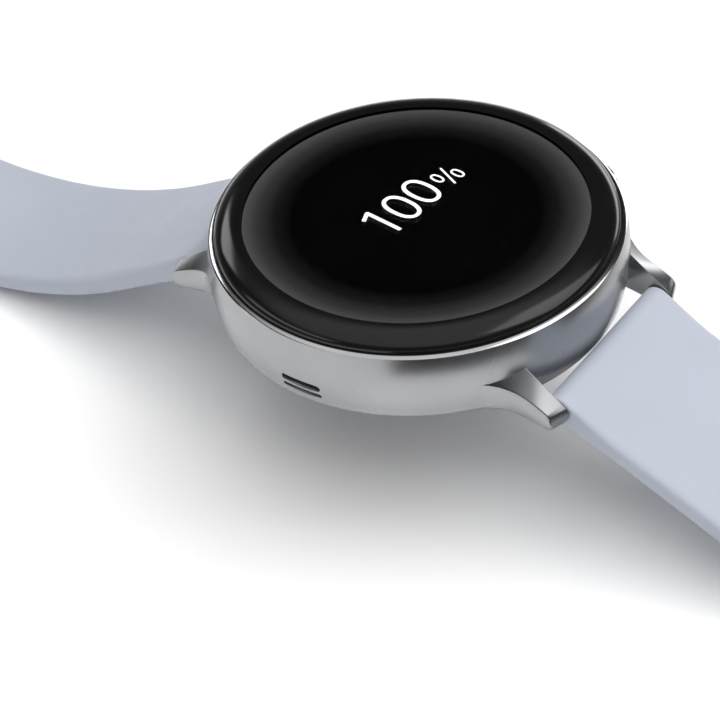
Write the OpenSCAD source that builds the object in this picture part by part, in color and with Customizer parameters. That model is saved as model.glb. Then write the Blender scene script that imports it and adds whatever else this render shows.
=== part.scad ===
// Round smartwatch with two buttons, a glass back and a two-piece silicone strap.
// It stands on its two strap halves, with the case held level above the table.
// +Z is up, +Y points to 12 o'clock, and the origin is at the bottom centre of the whole object.

/* [Case] */
// Radius of the case at its widest
case_r = 21.5; // [20:0.1:26]
// How far the top rim stands in from the widest part of the case
rim_inset = 0.35; // [0.2:0.05:0.6]
// How far the foot of the case stands in from its widest part
foot_inset = 0.8; // [0.4:0.05:1]
// Height from the back glass to the top of the front glass
watch_h = 10.9; // [10.6:0.1:13.2]
// How far the front glass stands above the metal rim
glass_dome = 1.46; // [1:0.02:2]
// Height of the lower edge of the metal case
foot_z = 1.45; // [1.2:0.05:2]
// Thickness of the case wall
case_wall = 2.1; // [1.8:0.1:2.6]
// Height of the case back above the table
case_lift = 14.8; // [13:0.1:20]

/* [Lugs] */
// Gap between the two lugs of a pair, which is the strap's nominal width
lug_gap = 20; // [18:0.5:24]
// Width of a lug at its tip
lug_tip_w = 2.15; // [1.8:0.05:3]
// How far the lug tips stand out past the widest part of the case
lug_reach = 2.42; // [2.35:0.05:4]
// Distance from a lug's tip back to the spring bar
bar_inset = 1.5; // [1.3:0.05:1.8]
// Height of the spring bar above the case back
bar_z = 1.35; // [1.2:0.05:2]

/* [Front] */
// Width of the black border between the edge of the glass and the lit part of the display
border_w = 2.96; // [2.5:0.02:5]
// Thickness of the front glass at its centre
glass_t = 0.65; // [0.5:0.05:1]
// Thickness of the display panel
display_t = 0.8; // [0.5:0.05:1]

/* [Buttons] */
// Angle of each button above or below 3 o'clock
button_angle = 24; // [20:1:30]
// Length of a button cap along the case
button_len = 8.4; // [6:0.1:10]
// Height of a button cap
button_h = 2.7; // [2:0.1:3.2]
// How far a button stands out of the case
button_proud = 0.85; // [0.6:0.05:1.2]
// Travel of a button when it is pressed
button_travel = 0.35; // [0.2:0.05:0.4]
// Height of the buttons above the case back
button_z = 6.1; // [5.6:0.1:6.5]

/* [Strap] */
// Thickness of both strap halves
strap_t = 2.3; // [1.8:0.1:2.8]
// Width of the strap where it meets the buckle
strap_end_w = 17.8; // [16:0.1:18]
// Length of the half with the buckle, from spring bar to buckle pin
buckle_half_len = 78; // [74:1:95]
// Length of the half with the holes, from spring bar to tip
hole_half_len = 118; // [112:1:140]
// Slope at which the buckle half leaves the case
buckle_half_fall = 30; // [26:1:34]
// Slope at which the buckle half rises from the table
buckle_half_rise = 16; // [10:1:20]
// Slope at which the half with the holes leaves the case
hole_half_fall = 24.2; // [22:0.1:30]
// Radius of the bend that brings the strap level
strap_bend_r = 60; // [45:1:60]
// Number of adjusting holes
hole_count = 9; // [5:1:9]
// Distance between adjusting holes
hole_pitch = 6; // [5.5:0.5:7]

/* [Battery] */
// Size of the battery across the case
battery_w = 19; // [15:0.5:23]

/* [Clearances] */
// Gap all round between fixed pieces that lie beside each other
seat_gap = 0.1; // [0.05:0.05:0.15]
// Radial running clearance of a pin or stem in its hole
run_gap = 0.05; // [0.02:0.01:0.1]
// Gap on each side between the strap and the lugs
side_gap = 0.15; // [0.1:0.05:0.3]

/* [Hidden] */
$fn = 64;

cut = 0.01;                                   // how far a cut runs past a face
film_gap = 0.05;                              // gap between thin pieces that lie on each other

// case and front
rim_r = case_r - rim_inset;
rim_z = watch_h - glass_dome;
foot_r = case_r - foot_inset;
widest_z = 6;
foot_round = 0.7;
barrel_steps = 20;
cavity_r = case_r - case_wall;
rim_w = 0.55;                                 // width of the metal rim round the glass
shelf_z = rim_z - 0.3;                        // the front glass's seal lies on this shelf
glass_r = rim_r - rim_w;
glass_pocket_r = glass_r + seat_gap;
glass_edge_w = 2.9;                           // width of the front glass's rolled edge
glass_edge_z = rim_z + 0.15;
skirt_t = 1.25;                               // width of the front glass's turned-down rim
glass_foot_z = rim_z - 0.05;
glass_in_z = watch_h - glass_t;
screen_r = glass_r - border_w;
display_z = glass_in_z - film_gap - display_t;
display_r = glass_r - skirt_t - seat_gap - 0.3;
ring_t = 0.12;

// back
cover_r = foot_r - 0.75;
cover_in_z = foot_z + 0.1;
flange_t = 0.3;
seal_t = 0.1;
window_r = 9.4;
window_t = 1.1;
window_out_r = window_r + 0.7;
window_step_z = 0.6;
coil_in_r = window_r + 0.8;
coil_out_r = 14.8;
coil_pitch = 0.575;
coil_wire = 0.52;
coil_t = 0.36;
led_t = 0.5;
led_z = window_t + 0.25;

// lugs and spring bars
lug_x = lug_gap / 2;
tip_y = case_r + lug_reach;
lug_root_y = sqrt(pow(cavity_r, 2) - pow(lug_x, 2)) - 2;
lug_steps = 18;
lug_top_z = bar_z + 0.68;                     // top and underside of a lug near its tip
lug_low_z = bar_z - 1.03;
lug_fall = 0.74;                              // fall of a lug's inner top edge for each mm along it
flare_w = 1.45;                               // how much wider a lug is where it meets the case
flare_run = 6.6;                              // length over which it widens
crease_run = 7.6;                             // the crease beside a lug's top face starts this far from the tip
crease_rise = 3.2;                            // and this far above the lug's top at the tip
crease_fall = 0.385;                          // fall of the crease for each mm along the lug
low_round = 1.3;                              // length of the rounding under and over a lug's tip
top_round = 0.5;
skew = 0.8;                                   // how far a tip's outer corner is rounded back
bar_y = tip_y - bar_inset;
roll_r = 1.55;
tube_r = 0.75;
pin_r = 0.4;
tube_end_x = lug_x - 0.4;
pin_end_x = lug_x + 0.9;
lug_hole_end_x = lug_x + 1.35;
plunger_travel = 1.3;
lever_x = 7.6;
lever_r = 0.3;
lever_head_r = 0.5;
lever_foot_z = -2.1;
notch_wall = 0.75;                            // room round the release lever in the strap's notch
head_r = 0.5;
head_x = lever_x - 0.9;
collar_x = tube_end_x - 0.45;
spring_room = 2.6;
spring_turns = 7;

// strap
strap_w = lug_gap - 2 * side_gap;
strap_low_z = strap_t / 2 - case_lift;        // height of the centre line where the strap lies on the table
bend_steps = 14;
roll_run = 8;                                 // length over which the roll thins into the strap
pin_radius = 0.55;                            // the buckle pin's own radius
end_roll_r = 1.45;
hole_w = 2.4;
hole_l = 3.4;
first_hole = 18;                              // from the tip to the first adjusting hole

// inside
boss_angles = [50, 130, 230, 310];
boss_r = 1.5;
boss_place = cavity_r - 1.1;
screw_r = 0.6;
screw_head_r = 1.05;
screw_head_t = 0.45;
screw_slot = [1.2, 0.26, 0.3];
frame_z = foot_z + 1.05;
frame_floor = 0.6;
frame_r = cavity_r - 0.25;
boss_z = frame_z + frame_floor + 0.3;
boss_h = 2;
board_t = 0.6;
chip_t = 0.7;
chip_gap = 0.6;                               // gap between the chips and the display
board_z = display_z - chip_gap - chip_t - board_t;
board_gap = 0.3;                              // gap between the battery and the main board
board_r = cavity_r - 2.6;
chip_list = [[-7, -6.5, 6, 6], [7.5, -4, 5, 7], [6.5, 6, 4, 4], [-4, -12.3, 5, 2.5], [4.5, -11.6, 4, 3]];
shield_size = [12, 9, 0.9];
shield_t = 0.2;
pocket_wall = 0.8;
motor_r = 3.4;
motor_h = 2.6;
motor_gap = 0.25;
motor_shell = 0.25;
shaft_r = 0.35;
battery_z = frame_z + frame_floor + seat_gap;
battery_t = board_z - board_gap - battery_z;  // the battery fills the room under the main board
battery_l = 2 * (frame_r - motor_gap - 2 * motor_r - motor_gap - pocket_wall);
battery_round = 1;
motor_y = battery_l / 2 + pocket_wall + motor_gap + motor_r;
speaker_size = [5.6, 11, 3.2];
speaker_x = -cavity_r + 1.3 + speaker_size[0] / 2;
speaker_port = [8, 1.6, 2.2];
slot_len = 4.5;
slot_rows = [[4.0, 0.7], [2.95, 0.42]];       // height above the case back and width of each slot
mic_size = [1.1, 3, 2.2];
mic_z = button_z - 0.6;
mic_hole_r = 0.3;

// buttons
stem_r = 0.8;
stem_bore_r = stem_r + run_gap;
button_pocket_r = case_r - 1.25;
cap_in_r = button_pocket_r + button_travel + film_gap;
pad_in_r = cavity_r - 1.1;
pad_w = 4;                                    // width and height of the pad inside the wall behind a button
stem_end_r = pad_in_r - 1;
clip_t = 0.3;
clip_r = 1.35;
groove_r = 0.55;
seal_ring_r = 1.15;
seal_seat_w = 0.75;
seal_seat_r = pad_in_r + 0.7;
switch_size = [0.8, 3.2, 2.2];
flex_t = 0.15;
flex_r = stem_end_r - 1.7;

// buckle
frame_in_w = strap_end_w + 0.5;
frame_arm_w = 1.7;
frame_len = 9.6;
frame_bar_w = 2;
frame_half_t = 1.1;
frame_back = 1.5;                             // from the pin to the back ends of the frame's arms
frame_corner = 3;
tongue_w = 2;
tongue_t = 0.9;
hub_r = 1.3;
tongue_gap = 0.6;                             // gap on each side of the tongue in the strap's slot
slot_depth = 2.2;
keeper_len = 5;
keeper_wall = 1.2;
keeper_from_pin = 10;
keeper_back_travel = 5;
even_end = keeper_from_pin + keeper_len / 2 + keeper_back_travel + 1;

// Lengths and corner points of a strap half: straight fall, bend, straight end
function fall_len(fall) = (bar_z - strap_bend_r * (1 - cos(fall)) - strap_low_z) / sin(fall);
function bend_start(fall) = [bar_y + fall_len(fall) * cos(fall), bar_z - fall_len(fall) * sin(fall)];
function bend_centre(fall) = bend_start(fall) + strap_bend_r * [sin(fall), cos(fall)];
function bend_at(fall, slope) = bend_centre(fall) + strap_bend_r * [sin(slope), -cos(slope)];
function end_len(total, fall, rise) = total - fall_len(fall) - strap_bend_r * (fall + rise) * PI / 180;
function strap_end(total, fall, rise) =
    bend_at(fall, rise) + end_len(total, fall, rise) * [cos(rise), sin(rise)];
// Half the strap's thickness at a distance along it, thicker at the roll round the spring bar
function half_t(s) = strap_t / 2 + (roll_r - strap_t / 2) * pow(max(0, 1 - s / roll_run), 2);
function off_line(p, slope, d) = p + d * [-sin(slope), cos(slope)];
function fall_side(fall, sign) =
    [for (s = [0, 1, 2, 3.5, 5.5, roll_run, fall_len(fall)])
        off_line([bar_y + s * cos(fall), bar_z - s * sin(fall)], -fall, sign * half_t(s))];
function bend_side(fall, rise, sign) =
    [for (k = [1:bend_steps]) let (a = -fall + (fall + rise) * k / bend_steps)
        off_line(bend_at(fall, a), a, sign * strap_t / 2)];
function strap_side(total, fall, rise, sign) =
    concat(fall_side(fall, sign), bend_side(fall, rise, sign),
           [off_line(strap_end(total, fall, rise), rise, sign * strap_t / 2)]);
function backwards(list) = [for (i = [len(list) - 1:-1:0]) list[i]];

buckle_pin_at = strap_end(buckle_half_len, buckle_half_fall, buckle_half_rise);
hole_tip_at = strap_end(hole_half_len, hole_half_fall, 0);
frame_front = frame_len * cos(buckle_half_rise) + frame_half_t * sin(buckle_half_rise);
centre_y = (hole_tip_at[0] - buckle_pin_at[0] - frame_front) / 2;

// Puts the watch's own frame, centred on the case back, into the object's frame
module in_place() { translate([0, centre_y, case_lift]) children(); }
// Puts a piece on the 12 o'clock side (1) or the 6 o'clock side (-1)
module on_side(side) { mirror([0, side > 0 ? 0 : 1, 0]) children(); }
module ring(r_out, r_in, z0, h) {
    translate([0, 0, z0]) difference() {
        cylinder(r = r_out, h = h);
        translate([0, 0, -cut]) cylinder(r = r_in, h = h + 2 * cut);
    }
}
module along_x(x0, x1, r) { translate([x0, 0, 0]) rotate([0, 90, 0]) cylinder(r = r, h = x1 - x0); }
module slab(size, z0) { translate([-size[0] / 2, -size[1] / 2, z0]) cube(size); }
// Flat shape with round ends, long along y
module pill(length, width) {
    square([width, length - width], center = true);
    for (s = [-1, 1]) translate([0, s * (length - width) / 2]) circle(d = width);
}
// A pill extruded along +x from x0, long along y
module pill_x(length, width, x0, depth) {
    translate([x0, 0, 0]) rotate([0, 90, 0]) linear_extrude(depth) pill(length, width);
}

// ---- case ----
function barrel_r(z) = z > widest_z ? case_r - rim_inset * pow((z - widest_z) / (rim_z - widest_z), 2)
                                    : case_r - foot_inset * pow((widest_z - z) / (widest_z - foot_z), 2);
module barrel() {
    low = foot_z + foot_round;
    side = [for (k = [0:barrel_steps]) let (z = low + (rim_z - 0.2 - low) * k / barrel_steps) [barrel_r(z), z]];
    foot = [for (a = [0:18:72]) [barrel_r(low) - foot_round * (1 - sin(a)), low - foot_round * cos(a)]];
    rotate_extrude($fn = 128)
        polygon(concat([[cavity_r, foot_z]], foot, side,
                       [[rim_r - 0.12, rim_z], [glass_pocket_r + 0.08, rim_z], [glass_pocket_r, rim_z - 0.1],
                        [glass_pocket_r, shelf_z], [cavity_r, shelf_z]]));
}
// One lug is lofted through sections that run from inside the case wall to its tip
function round_off(y, run) = let (d = max(0, y - tip_y + run) / run) run * (1 - sqrt(max(0, 1 - d * d)));
function lug_in_top(y) = lug_top_z + lug_fall * (tip_y - y) - round_off(y, top_round);
function lug_out_x(y) = lug_x + lug_tip_w + flare_w * pow(max(0, (tip_y - 1 - y) / flare_run), 2.2);
function lug_out_top(y) =
    lug_top_z + crease_rise - crease_fall * (y - tip_y + crease_run) - round_off(y, top_round);
function lug_low(y) = lug_low_z + 0.14 * max(0, tip_y - low_round - y) + round_off(y, low_round);
function tip_skew(y) = skew * pow(max(0, (y - tip_y + 4) / 4), 2);
function lug_station(k) = lug_root_y + (tip_y - 0.04 - lug_root_y) * (1 - pow(1 - k / lug_steps, 1.6));
function lug_ring(y) =
    let (x = lug_out_x(y), top = lug_in_top(y), low = lug_low(y),
         edge = max(low + 0.3, min(lug_out_top(y), top)),
         rows = [[lug_x, low], [lug_x, max(top, low + 0.35)], [x - 0.06, edge + 0.02], [x, edge - 0.06],
                 [x + 0.14, (edge * 2 + low) / 3], [x + 0.1, (edge + low * 2) / 3], [x - 0.2, low + 0.12],
                 [x - 0.6, low]])
    [for (r = rows) [r[0], y - tip_skew(y) * (r[0] - lug_x) / lug_tip_w, r[1]]];
module lug() {
    rings = [for (k = [0:lug_steps]) lug_ring(lug_station(k))];
    n = len(rings[0]);
    points = [for (r = rings) each r];
    walls = [for (k = [0:lug_steps - 1]) for (i = [0:n - 1])
                let (a = k * n + i, b = k * n + (i + 1) % n)
                each [[a + n, b, a], [a + n, b + n, b]]];
    polyhedron(points, concat([[for (i = [0:n - 1]) i]], walls, [[for (i = [n - 1:-1:0]) lug_steps * n + i]]));
}
module button_pads() {
    for (a = [-1, 1]) rotate([0, 0, a * button_angle])
        translate([pad_in_r, -pad_w / 2, button_z - pad_w / 2]) cube([cavity_r + 0.3 - pad_in_r, pad_w, pad_w]);
}
module screw_bosses() {
    for (a = boss_angles) rotate([0, 0, a]) translate([boss_place, 0, boss_z]) {
        cylinder(r = boss_r, h = boss_h);
        translate([0, -boss_r, 0]) cube([1.2, 2 * boss_r, boss_h]);
    }
}
module case() {
    color([0.68, 0.69, 0.71]) in_place() difference() {
        union() {
            barrel();
            difference() {
                for (x = [0, 1]) mirror([x, 0, 0]) for (s = [1, -1]) on_side(s) lug();
                translate([0, 0, -5]) cylinder(r = cavity_r + 0.4, h = 25);
                translate([0, 0, -5]) cylinder(r = cover_r + seat_gap, h = foot_z + 5);
            }
            button_pads();
            screw_bosses();
        }
        for (s = [1, -1]) translate([0, s * bar_y, bar_z])
            along_x(-lug_hole_end_x, lug_hole_end_x, pin_r + run_gap);
        for (a = [-1, 1]) rotate([0, 0, a * button_angle]) translate([0, 0, button_z]) {
            pill_x(button_len + 2 * seat_gap, button_h + 2 * seat_gap, button_pocket_r, 4);
            along_x(pad_in_r - 1, case_r, stem_bore_r);
            along_x(seal_seat_r, seal_seat_r + seal_seat_w, seal_ring_r + seat_gap / 2);
        }
        for (row = slot_rows) translate([0, 0, row[0]]) mirror([1, 0, 0])
            pill_x(slot_len, row[1], cavity_r - 1, 5);
        translate([0, 0, mic_z]) along_x(cavity_r - 1, case_r + 1, mic_hole_r);
        for (a = boss_angles) rotate([0, 0, a]) translate([boss_place, 0, boss_z - cut])
            cylinder(r = screw_r - 0.05, h = boss_h - 0.4);
    }
}

// ---- front ----
module crystal() {
    edge = [for (a = [0:7.5:90])
        [glass_r - glass_edge_w * (1 - cos(a)), glass_edge_z + (watch_h - glass_edge_z) * sin(a)]];
    color([0.03, 0.03, 0.035, 0.6]) in_place() rotate_extrude($fn = 128)
        polygon(concat([[0, glass_in_z], [glass_r - skirt_t, glass_in_z], [glass_r - skirt_t, glass_foot_z],
                        [glass_r, glass_foot_z]], edge, [[0, watch_h]]));
}
module touch_ring() {
    color([0.05, 0.05, 0.06]) in_place()
        ring(glass_r - skirt_t - seat_gap / 2, screen_r, glass_in_z - ring_t, ring_t);
}
module display_panel() {
    color([0.02, 0.02, 0.02]) in_place() {
        translate([0, 0, display_z]) cylinder(r = display_r, h = display_t - ring_t);
        translate([0, 0, display_z + display_t - ring_t - cut]) cylinder(r = screen_r - 0.05, h = ring_t + cut);
    }
}
module display_seal() {
    color([0.1, 0.1, 0.1]) in_place() ring(glass_r - 0.05, cavity_r + 0.05, shelf_z, glass_foot_z - shelf_z);
}

// ---- inside ----
module inner_frame() {
    inside = [battery_w + 2 * seat_gap, battery_l + 2 * seat_gap];
    outside = inside + 2 * [pocket_wall, pocket_wall];
    color([0.22, 0.23, 0.25]) in_place() difference() {
        union() {
            difference() {
                translate([0, 0, frame_z]) cylinder(r = frame_r, h = frame_floor);
                translate([0, 0, frame_z - 1]) cylinder(r = window_r - 1.4, h = 3);
            }
            slab([outside[0], outside[1], board_z - frame_z - film_gap], frame_z);
        }
        slab([inside[0], inside[1], 10], frame_z + frame_floor);
        translate([0, 0, frame_z - 1]) cylinder(r = window_r - 1.4, h = 3);
        for (a = boss_angles) rotate([0, 0, a]) translate([boss_place, 0, frame_z - 1])
            cylinder(r = screw_r + seat_gap, h = 5);
        translate([-frame_r, -1.5, frame_z - 1]) cube([1.2, 3, 5]);
    }
}
module frame_screws() {
    color([0.75, 0.75, 0.76]) in_place() for (a = boss_angles) rotate([0, 0, a]) translate([boss_place, 0, 0])
        difference() {
            union() {
                translate([0, 0, frame_z - screw_head_t]) cylinder(r = screw_head_r, h = screw_head_t);
                translate([0, 0, frame_z - cut]) cylinder(r = screw_r - 0.05, h = 2.2);
            }
            for (t = [0, 60, 120]) rotate([0, 0, t]) slab(screw_slot, frame_z - screw_head_t - cut);
        }
}
module battery() {
    color([0.16, 0.17, 0.2]) in_place() translate([0, 0, battery_z]) linear_extrude(battery_t) {
        square([battery_w - 2 * battery_round, battery_l], center = true);
        square([battery_w, battery_l - 2 * battery_round], center = true);
        for (x = [-1, 1]) for (y = [-1, 1])
            translate([x * (battery_w / 2 - battery_round), y * (battery_l / 2 - battery_round)])
                circle(r = battery_round);
    }
}
module main_board() {
    color([0.05, 0.2, 0.12]) in_place() difference() {
        translate([0, 0, board_z]) cylinder(r = board_r, h = board_t);
        translate([-3, board_r - 2.2, board_z - 1]) cube([6, 4, 3]);
        for (a = [0, 180]) rotate([0, 0, a]) translate([board_r, 0, board_z - 1]) cylinder(r = 1.2, h = 3);
    }
}
module board_chips() {
    color([0.1, 0.1, 0.11]) in_place()
        for (c = chip_list) translate([c[0], c[1], 0]) slab([c[2], c[3], chip_t], board_z + board_t);
}
module shield_can() {
    color([0.7, 0.7, 0.7]) in_place() translate([-5.5, 5.2, 0]) difference() {
        slab(shield_size, board_z + board_t);
        slab(shield_size - [2, 2, 1] * shield_t, board_z + board_t - cut);
    }
}
module display_flex() {
    y0 = board_r - 3.2;
    top = board_z + board_t;
    color([0.75, 0.45, 0.1]) in_place() translate([-2.5, 0, 0]) rotate([90, 0, 90]) linear_extrude(5)
        polygon([[y0, top], [y0 + 0.9, top], [y0 + 1.6, display_z - 0.35], [y0 + 2, display_z - flex_t],
                 [y0 + 2, display_z], [y0 - 4, display_z], [y0 - 4, display_z - flex_t],
                 [y0 + 1.2, display_z - flex_t], [y0 + 0.75, top + flex_t], [y0, top + flex_t]]);
}
module speaker() {
    z = frame_z + frame_floor;
    color([0.12, 0.12, 0.13]) in_place() translate([speaker_x, 0, 0]) difference() {
        slab(speaker_size, z);
        translate([-speaker_size[0] / 2 - 1, 0, z + speaker_size[2] / 2 - 0.7])
            pill_x(speaker_port[0], speaker_port[1], 0, speaker_port[2]);
    }
}
module speaker_mesh() {
    color([0.3, 0.3, 0.32]) in_place() intersection() {
        ring(cavity_r - 0.05, cavity_r - 0.2, slot_rows[1][0] - 0.35, 1.9);
        translate([-cavity_r - 1, -slot_len * 0.7, 0]) cube([4, slot_len * 1.4, watch_h]);
    }
}
module microphone() {
    color([0.72, 0.66, 0.5]) in_place() translate([cavity_r - 0.95, 0, 0]) difference() {
        slab(mic_size, mic_z - mic_size[2] / 2);
        translate([0, 0, mic_z]) along_x(0.2, 1, mic_hole_r);
    }
}
module motor_can() {
    color([0.74, 0.74, 0.75]) in_place() translate([0, motor_y, frame_z + frame_floor]) {
        difference() {
            cylinder(r = motor_r, h = motor_h);
            translate([0, 0, motor_shell]) cylinder(r = motor_r - motor_shell, h = motor_h - 2 * motor_shell);
        }
        cylinder(r = shaft_r, h = motor_h - 0.1);
    }
}
module motor_rotor() {
    color([0.55, 0.5, 0.42]) in_place() translate([0, motor_y, frame_z + frame_floor + 0.4]) difference() {
        union() {
            cylinder(r = 1.1, h = motor_h - 0.8);
            intersection() {
                cylinder(r = motor_r - 0.4, h = motor_h - 0.8);
                translate([-motor_r, 0, 0]) cube([2 * motor_r, motor_r, motor_h]);
            }
        }
        translate([0, 0, -cut]) cylinder(r = shaft_r + run_gap, h = motor_h);
    }
}

// ---- back ----
module charging_coil() {
    color([0.72, 0.4, 0.2]) in_place() for (r = [coil_in_r:coil_pitch:coil_out_r + cut])
        ring(r + coil_wire / 2, r - coil_wire / 2, cover_in_z + film_gap, coil_t);
}
module ferrite_sheet() {
    z = cover_in_z + film_gap + coil_t + 0.04;
    color([0.2, 0.2, 0.21]) in_place() ring(coil_out_r + 0.6, coil_in_r - 0.6, z, 0.25);
}
module sensor_board() {
    color([0.06, 0.06, 0.08]) in_place() translate([0, 0, led_z + led_t]) cylinder(r = coil_in_r - 1, h = 0.5);
}
module sensor_leds() {
    color([0.85, 0.85, 0.8]) in_place() {
        for (a = [0:45:315]) rotate([0, 0, a]) translate([window_r - 3.8, 0, 0]) slab([2, 2, led_t], led_z);
        for (x = [-1, 1]) for (y = [-1, 1]) translate([x, y, 0]) slab([1.3, 1.3, led_t], led_z);
    }
}
module sensor_window() {
    color([0.05, 0.05, 0.06]) in_place() rotate_extrude($fn = 128)
        polygon([[0, 0], [window_r - 0.15, 0], [window_r, 0.1], [window_r, window_step_z],
                 [window_out_r, window_step_z], [window_out_r, window_t], [0, window_t]]);
}
module back_cover() {
    hole_r = window_r + seat_gap;
    step_r = window_out_r + seat_gap;
    flange_z = foot_z - seal_t - flange_t;
    inner_z = window_t + 0.2;
    in_r = cavity_r - seat_gap;
    rise = (flange_z - 0.06) / (1 - cos(75));
    dish = [for (a = [0:15:75]) [cover_r - 7 + 6.8 * sin(a), 0.06 + rise * (1 - cos(a))]];
    color([0.5, 0.51, 0.53]) in_place() rotate_extrude($fn = 128)
        polygon(concat([[hole_r, 0.06]], dish,
                       [[cover_r, flange_z + 0.1], [cover_r, foot_z - seal_t], [in_r, foot_z - seal_t],
                        [in_r, cover_in_z], [in_r - 1.1, cover_in_z], [in_r - 1.9, inner_z],
                        [step_r, inner_z], [step_r, window_step_z - cut], [hole_r, window_step_z - cut]]));
}
module back_seal() {
    color([0.12, 0.12, 0.12]) in_place() ring(cover_r - 0.05, cavity_r + 0.05, foot_z - seal_t, seal_t);
}

// ---- buttons, one at each side of 3 o'clock ----
module button(side) {
    color([0.7, 0.71, 0.73]) in_place() rotate([0, 0, side * button_angle])
        translate([0, 0, button_z]) difference() {
        union() {
            intersection() {
                pill_x(button_len, button_h, cap_in_r, 4);
                translate([0, 0, -5]) cylinder(r = case_r + button_proud, h = 10, $fn = 128);
            }
            along_x(stem_end_r, cap_in_r + cut, stem_r);
        }
        translate([pad_in_r - film_gap - clip_t, 0, 0]) rotate([0, 90, 0]) difference() {
            translate([0, 0, -film_gap]) cylinder(r = clip_r, h = clip_t + 2 * film_gap);
            translate([0, 0, -2 * film_gap]) cylinder(r = groove_r, h = clip_t + 4 * film_gap);
        }
    }
}
module button_clip(side) {
    color([0.5, 0.5, 0.5]) in_place() rotate([0, 0, side * button_angle])
        translate([pad_in_r - film_gap - clip_t, 0, button_z]) rotate([0, 90, 0]) difference() {
            cylinder(r = clip_r, h = clip_t);
            translate([0, 0, -cut]) cylinder(r = groove_r + cut, h = 1);
            translate([-2, -0.5, -cut]) cube([2, 1, 1]);
        }
}
module upper_button() { button(1); }
module lower_button() { button(-1); }
module upper_button_clip() { button_clip(1); }
module lower_button_clip() { button_clip(-1); }
module button_seals() {
    wire_r = (seal_ring_r - stem_r - run_gap / 2) / 2;
    color([0.08, 0.08, 0.08]) in_place() for (a = [-1, 1]) rotate([0, 0, a * button_angle])
        translate([seal_seat_r + seal_seat_w / 2, 0, button_z]) rotate([0, 90, 0])
            rotate_extrude() translate([seal_ring_r - wire_r, 0]) circle(r = wire_r, $fn = 24);
}
module button_flex() {
    half_l = flex_r * sin(button_angle) + switch_size[1] * 0.7;
    color([0.75, 0.45, 0.1]) in_place() intersection() {
        ring(flex_r, flex_r - flex_t, battery_z, board_z - battery_z - 0.1);
        translate([0, -half_l, 0]) cube([case_r, 2 * half_l, watch_h]);
    }
}
module button_switches() {
    color([0.8, 0.8, 0.78]) in_place() for (a = [-1, 1]) rotate([0, 0, a * button_angle]) {
        translate([flex_r + 0.02, -switch_size[1] / 2, button_z - switch_size[2] / 2]) cube(switch_size);
        translate([0, 0, button_z])
            along_x(flex_r + switch_size[0], stem_end_r - button_travel - 0.02, 0.6);
    }
}

// ---- strap ----
// The strap's outline seen from above: even as far as the bend, then narrowing evenly to its end
module strap_plan(total, fall, rise, tip_round_r) {
    y1 = bend_start(fall)[0];
    y3 = strap_end(total, fall, rise)[0];
    y2 = y3 - (tip_round_r > 0 ? tip_round_r : even_end);
    w = strap_w / 2;
    e = strap_end_w / 2;
    translate([0, 0, -case_lift - 5]) linear_extrude(case_lift + 20) {
        polygon([[-w, 0], [w, 0], [w, y1], [e, y2], [-e, y2], [-w, y1]]);
        if (tip_round_r > 0) translate([0, y2]) circle(r = tip_round_r);
        if (tip_round_r == 0) translate([-e, y2 - cut]) square([strap_end_w, even_end + 2 * end_roll_r]);
    }
}
module strap_blank(total, fall, rise) {
    side_a = strap_side(total, fall, rise, 1);
    side_b = strap_side(total, fall, rise, -1);
    translate([-strap_w / 2, 0, 0]) rotate([90, 0, 90]) linear_extrude(strap_w)
        polygon(concat(side_a, backwards(side_b)));
}
module lever_notch() {
    translate([lever_x - plunger_travel - notch_wall, -notch_wall, -4])
        cube([plunger_travel + 2 * notch_wall, 2 * notch_wall, 4]);
}
module strap_half(total, fall, rise, tip_round_r) {
    difference() {
        intersection() {
            union() {
                strap_blank(total, fall, rise);
                translate([0, bar_y, bar_z]) along_x(-strap_w / 2, strap_w / 2, roll_r);
                if (tip_round_r == 0) translate([0, buckle_pin_at[0], buckle_pin_at[1]])
                    along_x(-strap_end_w / 2, strap_end_w / 2, end_roll_r);
            }
            strap_plan(total, fall, rise, tip_round_r);
        }
        translate([0, bar_y, bar_z]) rotate([-fall, 0, 0]) {
            along_x(-strap_w, strap_w, tube_r + seat_gap / 2);
            lever_notch();
        }
    }
}
module at_buckle() {
    translate([0, buckle_pin_at[0], buckle_pin_at[1]]) rotate([buckle_half_rise, 0, 0]) children();
}
module buckle_strap() {
    color([0.72, 0.75, 0.81]) in_place() difference() {
        strap_half(buckle_half_len, buckle_half_fall, buckle_half_rise, 0);
        at_buckle() {
            along_x(-strap_end_w, strap_end_w, pin_radius + seat_gap / 2);
            translate([-tongue_w / 2 - tongue_gap, -slot_depth, -5]) cube([tongue_w + 2 * tongue_gap, 8, 10]);
        }
    }
}
module hole_strap() {
    color([0.72, 0.75, 0.81]) in_place() on_side(-1) difference() {
        strap_half(hole_half_len, hole_half_fall, 0, strap_end_w / 2);
        for (k = [0:hole_count - 1])
            translate([0, hole_tip_at[0] - first_hole - k * hole_pitch, -case_lift - 1])
                linear_extrude(strap_t + 3) pill(hole_l, hole_w);
    }
}

// ---- quick-release spring bars ----
module at_bar(side, fall) {
    in_place() on_side(side) translate([0, bar_y, bar_z]) rotate([-fall, 0, 0]) children();
}
module bar_tube() {
    difference() {
        union() {
            along_x(-tube_end_x, tube_end_x, tube_r);
            along_x(-pin_end_x, -tube_end_x + cut, pin_r);
        }
        along_x(head_x - plunger_travel - spring_room - 2 * film_gap, collar_x, head_r + run_gap);
        along_x(collar_x - cut, tube_end_x + cut, pin_r + run_gap);
        translate([lever_x - plunger_travel - lever_r - 0.1, -lever_r - run_gap, -2])
            cube([plunger_travel + 2 * lever_r + 0.2, 2 * (lever_r + run_gap), 2]);
    }
}
module bar_plunger() {
    along_x(head_x, collar_x - 0.03, head_r);
    along_x(collar_x - 0.1, pin_end_x, pin_r);
    translate([lever_x, 0, lever_foot_z]) cylinder(r = lever_r, h = -lever_foot_z, $fn = 32);
    translate([lever_x, 0, lever_foot_z]) cylinder(r = lever_head_r, h = 0.45, $fn = 32);
}
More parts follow.
